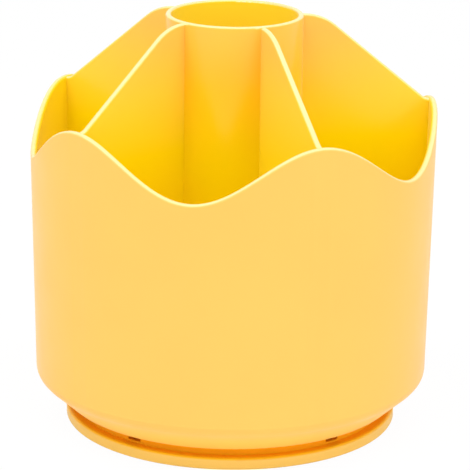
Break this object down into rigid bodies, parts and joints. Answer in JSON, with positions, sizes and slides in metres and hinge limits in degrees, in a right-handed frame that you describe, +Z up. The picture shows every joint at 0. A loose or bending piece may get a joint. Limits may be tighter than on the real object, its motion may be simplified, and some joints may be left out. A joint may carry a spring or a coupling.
{
  "type": "rotating pen holder",
  "caption": "Round desk pen holder with wavy rim, centre tube and radial dividers, turning on a ball-bearing foot plate.",
  "frame": {"origin": "on the desk under the middle of the foot plate, on the axis that the cup turns about", "axes": "+Z up along the turning axis; the front seen in the picture faces -Y"},
  "size_m": [0.1198, 0.1197, 0.1235],
  "materials": {
    "yellow_plastic": "satin moulded",
    "race_steel": "pressed, oiled",
    "ball_steel": "polished",
    "zinc_steel": "zinc plated",
    "brass": "turned",
    "white_plastic": "natural acetal",
    "grey_plastic": "satin moulded",
    "pad_rubber": "matte"
  },
  "bodies": {
    "base": {"base_disc": "yellow_plastic", "lower_race": "race_steel", "pivot_bush": "white_plastic", "screw_cap": "grey_plastic", "foot_pad_1": "pad_rubber", "foot_pad_2": "pad_rubber", "foot_pad_3": "pad_rubber", "foot_pad_4": "pad_rubber"},
    "cup": {"cup_body": "yellow_plastic", "upper_race": "race_steel", "threaded_insert": "brass", "pivot_screw": "zinc_steel", "pivot_washer": "zinc_steel"},
    "ball_cage": {"ball_cage": "white_plastic", "bearing_ball_01": "ball_steel", "bearing_ball_02": "ball_steel", "bearing_ball_03": "ball_steel", "bearing_ball_04": "ball_steel", "bearing_ball_05": "ball_steel", "bearing_ball_06": "ball_steel", "bearing_ball_07": "ball_steel", "bearing_ball_08": "ball_steel", "bearing_ball_09": "ball_steel", "bearing_ball_10": "ball_steel", "bearing_ball_11": "ball_steel", "bearing_ball_12": "ball_steel", "bearing_ball_13": "ball_steel", "bearing_ball_14": "ball_steel", "bearing_ball_15": "ball_steel", "bearing_ball_16": "ball_steel"}
  },
  "joints": [
    {"name": "cup_spin", "type": "hinge", "parent": "base", "child": "cup", "pos_m": [0, 0, 0.00554], "axis": [0, 0, 1], "continuous": true},
    {"name": "cage_spin", "type": "hinge", "parent": "base", "child": "ball_cage", "pos_m": [0, 0, 0.00554], "axis": [0, 0, 1], "continuous": true}
  ],
  "couplings": [
    {"joint": "cage_spin", "follows": "cup_spin", "ratio": 0.5}
  ]
}
